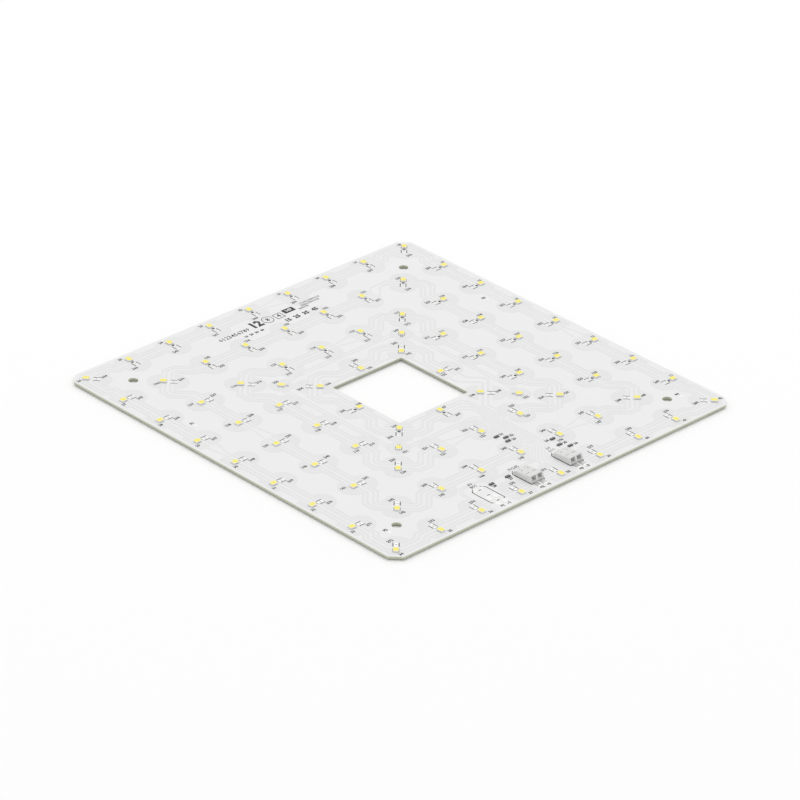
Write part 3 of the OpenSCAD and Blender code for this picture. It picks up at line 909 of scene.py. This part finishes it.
for text, *spot in scalePlan["spaced"]:
    rowX, rowY, height = metres(spot)
    words = text.split()
    for i, word in enumerate(words):
        step = (i - (len(words) - 1) / 2) * scalePlan["spacing"] * height
        printRow(scaleInk, word, rowX + step, rowY, height)
ringX, ringY, ringRadius, ringLine = metres(scalePlan["ring"])
ring = bmesh.new()
bmesh.ops.create_circle(ring, cap_ends=True, segments=scalePlan["ringSteps"], radius=ringRadius)
stamp(scaleInk, loopShape(ring, ringLine), moved(ringX, ringY, coatTop))
squareX, squareY, squareHalf, squareLine = metres(scalePlan["square"])
square = bmesh.new()
bmesh.ops.create_grid(square, x_segments=1, y_segments=1, size=squareHalf)
stamp(scaleInk, loopShape(square, squareLine), moved(squareX, squareY, coatTop))
blockX, blockY, blockLength, blockWidth = metres(scalePlan["block"])
stamp(scaleInk, barShape(blockLength, blockWidth), moved(blockX, blockY, coatTop))
addPiece("printed_scale", scaleInk, "ink")
blockInk = bmesh.new()
text, height = scalePlan["blockNumber"]
printRow(blockInk, text, blockX, blockY, height, ink["high"], resistorPlan["codeDepth"])
addPiece("block_number", blockInk, "pale_ink")


# Supply tracks that slant off below the second ring, on a skin of coat, in mm
supplyPlan = {
    "top": -97.5,
    "width": 1,
    # x of the first track and x - y along its slant, and what each next track adds
    "first": (11, 109.6),
    "step": (2, 2.7),
    # the first few tracks run left at their end, the others run down
    "ends": [(-2, -110.75), (-1.5, -112.25), (0, -118), (4.8, -130), (6.8, -130), (9, -130)],
    "runsLeft": 2,
    "skins": [
        [(10.5, -97.5), (20.2, -97.5), (20.2, -114.3), (-0.5, -114.3), (-0.5, -108.5)],
        [(3.4, -131), (10.4, -131), (10.4, -114.3), (3.4, -114.3)],
    ],
    # rise over the tracks of the board: the skin, and each stretch of a track
    "skinOver": 0.004,
    "trackOver": (0.007, 0.01, 0.007),
}
supplySkin = bmesh.new()
skinDepth = trackTop - coatTop + supplyPlan["skinOver"] * mm
for outline in supplyPlan["skins"]:
    plate = plateShape([metres(point) for point in outline], skinDepth)
    stamp(supplySkin, plate, moved(0, 0, coatTop))
addPiece("supply_skin", supplySkin, "white_coat")
supplyTracks = bmesh.new()
trackWidth = supplyPlan["width"] * mm
for j, (endX, endY) in enumerate(supplyPlan["ends"]):
    topX, slant = [first + j * step for first, step in zip(supplyPlan["first"], supplyPlan["step"])]
    if j < supplyPlan["runsLeft"]:
        knee = (slant + endY, endY)
    else:
        knee = (endX, endX - slant)
    points = [(topX, supplyPlan["top"]), (topX, topX - slant), knee, (endX, endY)]
    route = [Vector(metres(point)) for point in points]
    for start, stop, over in zip(route, route[1:], supplyPlan["trackOver"]):
        run = stop - start
        middle = (start + stop) / 2
        track = barShape(run.length + trackWidth / 2, trackWidth, trackTop - coatTop + over * mm)
        stamp(supplyTracks, track, moved(middle.x, middle.y, coatTop) @ turned(atan2(run.y, run.x)))
addPiece("supply_tracks", supplyTracks, "coated_copper")


# Solder that has run up the leads, caps and tabs; a fillet is its run, rise and width
solder = {
    "arcSteps": 4,
    "ledEnd": 2.1 * mm,
    "ledFillet": (0.13 * mm, 0.19 * mm, 2.1 * mm),
    "chipEnd": 1.61 * mm,
    "chipFillet": (0.45 * mm, 0.42 * mm, 1.55 * mm),
    "tabFront": 4.2 * mm,
    "tabRear": 1.4 * mm,
    "tabFillet": (0.55 * mm, 0.28 * mm, 3.0 * mm),
}


# a hollow fillet that runs out along +X from its heel at the origin
def filletShape(run, rise, width):
    bm = bmesh.new()
    toe = bm.verts.new((1, 0, 0))
    bmesh.ops.spin(bm, geom=[toe], cent=(1, 0, 1), axis=(0, 1, 0), dvec=(0, 0, 0),
                   angle=pi / 2, steps=solder["arcSteps"])
    path = sorted(bm.verts, key=lambda v: v.co.z)
    heel = bm.verts.new((0, 0, 0))
    pushOut(bm, [bm.faces.new(path + [heel])], (0, 1, 0))
    bmesh.ops.translate(bm, vec=(0, -0.5, 0), verts=bm.verts)
    bmesh.ops.scale(bm, vec=(run, width, rise), verts=bm.verts)
    return meshOf(bm)


bothEnds = [0, pi]
ledSolder = bmesh.new()
ledFillet = filletShape(*solder["ledFillet"])
for site in [site for _, _, _, site in allRingSites()] + list(diagonalSites()):
    for end in bothEnds:
        stamp(ledSolder, ledFillet, site @ turned(end) @ moved(solder["ledEnd"], 0, padTop))
# painted shade: the LED solder takes the darker tin
addPiece("led_solder", ledSolder, "painted_shade_tin")
chipSolder = bmesh.new()
chipFillet = filletShape(*solder["chipFillet"])
for spot, _ in resistorPlan["sites"]:
    for end in bothEnds:
        chip = moved(*metres(spot)) @ turned(end)
        stamp(chipSolder, chipFillet, chip @ moved(solder["chipEnd"], 0, padTop))
addPiece("resistor_solder", chipSolder, "dark_tin")
tabSolder = bmesh.new()
tabFillet = filletShape(*solder["tabFillet"])
for place, slotIndex in enumerate(terminalPlan["slots"]):
    if place == terminalPlan["empty"]:
        continue
    for hand in bothHands:
        tabX = slotIndex * sitePitch + hand * terminalPlan["polePitch"] / 2
        front = moved(tabX, termFront - solder["tabFront"], padTop)
        rear = moved(tabX, termRear + solder["tabRear"], padTop)
        stamp(tabSolder, tabFillet, front @ turned(-pi / 2))
        stamp(tabSolder, tabFillet, rear @ turned(pi / 2))
addPiece("terminal_solder", tabSolder, "tin")


# Floor, light and camera
stagePlan = {
    "floorHalf": 4,
    "floorDrop": 0.85 * mm,
    "floorPale": grey(0.8),
    "floorSeen": grey(0.9),
    "floorGlow": 0.07,
    "skyLow": 0.66,
    "skyRise": 0.45,
    "skyBehind": 0.15,
    "lampPower": 16,
    "lampSize": 2.5,
    "lampPlace": (1.6, 1.9, 3.4),
}


# the floor is a little brighter to the camera than to the part that it lights from below
def floorFinish():
    material = bpy.data.materials.new("studio_floor")
    material.use_nodes = True
    bench = Bench(material.node_tree)
    pale = bench.node("BsdfDiffuse", None, {"Color": stagePlan["floorPale"]})
    seen = bench.node("BsdfDiffuse", None, {"Color": stagePlan["floorSeen"]})
    glow = bench.node("Emission", None, {"Strength": stagePlan["floorGlow"]})
    bright = bench.node("AddShader", None, {0: seen, 1: glow})
    shader = bench.node("MixShader", None, {0: bench.seen(), 1: pale, 2: bright})
    bench.node("OutputMaterial", None, {"Surface": shader})
    return material


floorMesh = bmesh.new()
bmesh.ops.create_grid(floorMesh, x_segments=1, y_segments=1, size=stagePlan["floorHalf"])
bmesh.ops.translate(floorMesh, vec=(0, 0, -stagePlan["floorDrop"]), verts=floorMesh.verts)
floor = bpy.data.objects.new("studio_floor", meshOf(floorMesh))
floor.data.materials.append(floorFinish())
bpy.context.scene.collection.objects.link(floor)

# a sky that lights the part more from above and behind, and is plain white to the camera
world = bpy.data.worlds.new("studio_sky")
world.use_nodes = True
bpy.context.scene.world = world
sky = Bench(world.node_tree)
across, along, above = [sky.axis(name, "Generated") for name in "XYZ"]
behind = (across + along) * stagePlan["skyBehind"]
strength = above * stagePlan["skyRise"] + behind + stagePlan["skyLow"]
light = sky.node("Background", None, {"Color": grey(1), "Strength": strength})
white = sky.node("Background", None, {"Color": grey(1), "Strength": 1})
shown = sky.node("MixShader", None, {0: sky.seen(), 1: light, 2: white})
sky.node("OutputWorld", None, {"Surface": shown})

lamp = bpy.data.lights.new("soft_lamp", "AREA")
lamp.size = stagePlan["lampSize"]
lamp.energy = stagePlan["lampPower"]
lampHolder = bpy.data.objects.new("soft_lamp", lamp)
lampHolder.location = stagePlan["lampPlace"]
lampHolder.rotation_euler = (-Vector(stagePlan["lampPlace"])).to_track_quat("-Z", "Y").to_euler()
bpy.context.scene.collection.objects.link(lampHolder)

cameraPlan = {
    "azimuth": radians(-45.283),
    "elevation": radians(28.898),
    "roll": radians(2.144),
    "distance": 2.7337,
    "aim": Vector((-10.1 * mm, -10.1 * mm, 2.57 * mm)),
    "lens": 207.98,
    "sensor": 36,
}
azimuth, elevation = cameraPlan["azimuth"], cameraPlan["elevation"]
flat = cos(elevation)
toCamera = Vector((sin(azimuth) * flat, -cos(azimuth) * flat, sin(elevation)))
stand = cameraPlan["aim"] + toCamera * cameraPlan["distance"]
aimed = (-toCamera).to_track_quat("-Z", "Y").to_matrix().to_4x4()
camera = bpy.data.cameras.new("camera")
camera.lens = cameraPlan["lens"]
camera.sensor_width = cameraPlan["sensor"]
cameraHolder = bpy.data.objects.new("camera", camera)
cameraHolder.matrix_world = Matrix.Translation(stand) @ aimed @ turned(cameraPlan["roll"])
bpy.context.scene.collection.objects.link(cameraHolder)
bpy.context.scene.camera = cameraHolder
bpy.context.scene.view_settings.view_transform = "Standard"
print("stage, light and camera are set")
